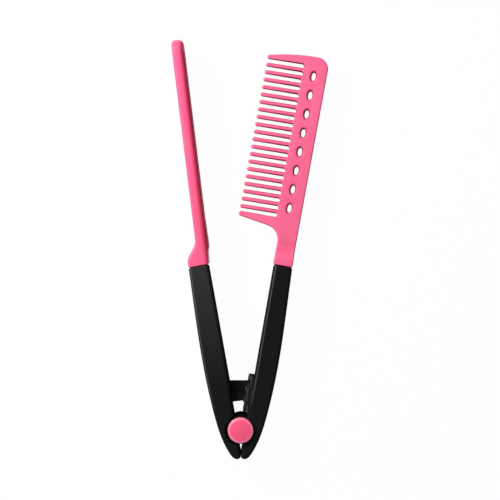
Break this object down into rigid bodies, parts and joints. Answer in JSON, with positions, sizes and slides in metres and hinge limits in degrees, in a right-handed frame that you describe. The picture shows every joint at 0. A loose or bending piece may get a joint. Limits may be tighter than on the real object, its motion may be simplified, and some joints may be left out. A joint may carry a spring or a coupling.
{
  "type": "straightening clip comb",
  "caption": "V-shaped clip comb: a comb arm swings on a sprung hinge so its teeth pass through a slotted loop on the other arm; a small slider locks it closed.",
  "frame": {"origin": "on the hinge axis at the rear rest face, which is the end of the hinge pin's head", "axes": "+Z toward the front face with the round cap, +Y from the hinge up between the open arms, +X toward the comb arm"},
  "size_m": [0.0938, 0.2497, 0.0206],
  "materials": {
    "pink_comb": "satin moulded",
    "pink_loop": "satin moulded",
    "pink_cap": "satin moulded",
    "black_handle": "satin moulded",
    "black_slider": "satin moulded",
    "steel": "plain"
  },
  "bodies": {
    "loop_arm": {"loop_blade": "pink_loop", "loop_handle": "black_handle", "loop_blade_screw": "steel", "torsion_spring": "steel"},
    "comb_arm": {"comb_blade": "pink_comb", "comb_handle": "black_handle", "comb_blade_screw": "steel", "hinge_pin": "steel", "front_hinge_cap": "pink_cap"},
    "lock_slider": {"lock_slider": "black_slider"}
  },
  "joints": [
    {"name": "arm_hinge", "type": "hinge", "parent": "loop_arm", "child": "comb_arm", "pos_m": [0, 0, 0], "axis": [0, 0, 1], "range_deg": [0, 18], "stiffness_Nm_per_rad": 0.155, "springref_deg": -40.11, "deforming": ["torsion_spring"]},
    {"name": "lock_slide", "type": "slide", "parent": "comb_arm", "child": "lock_slider", "axis": [0.1805, 0.9836, 0], "range_m": [0, 0.003]}
  ]
}
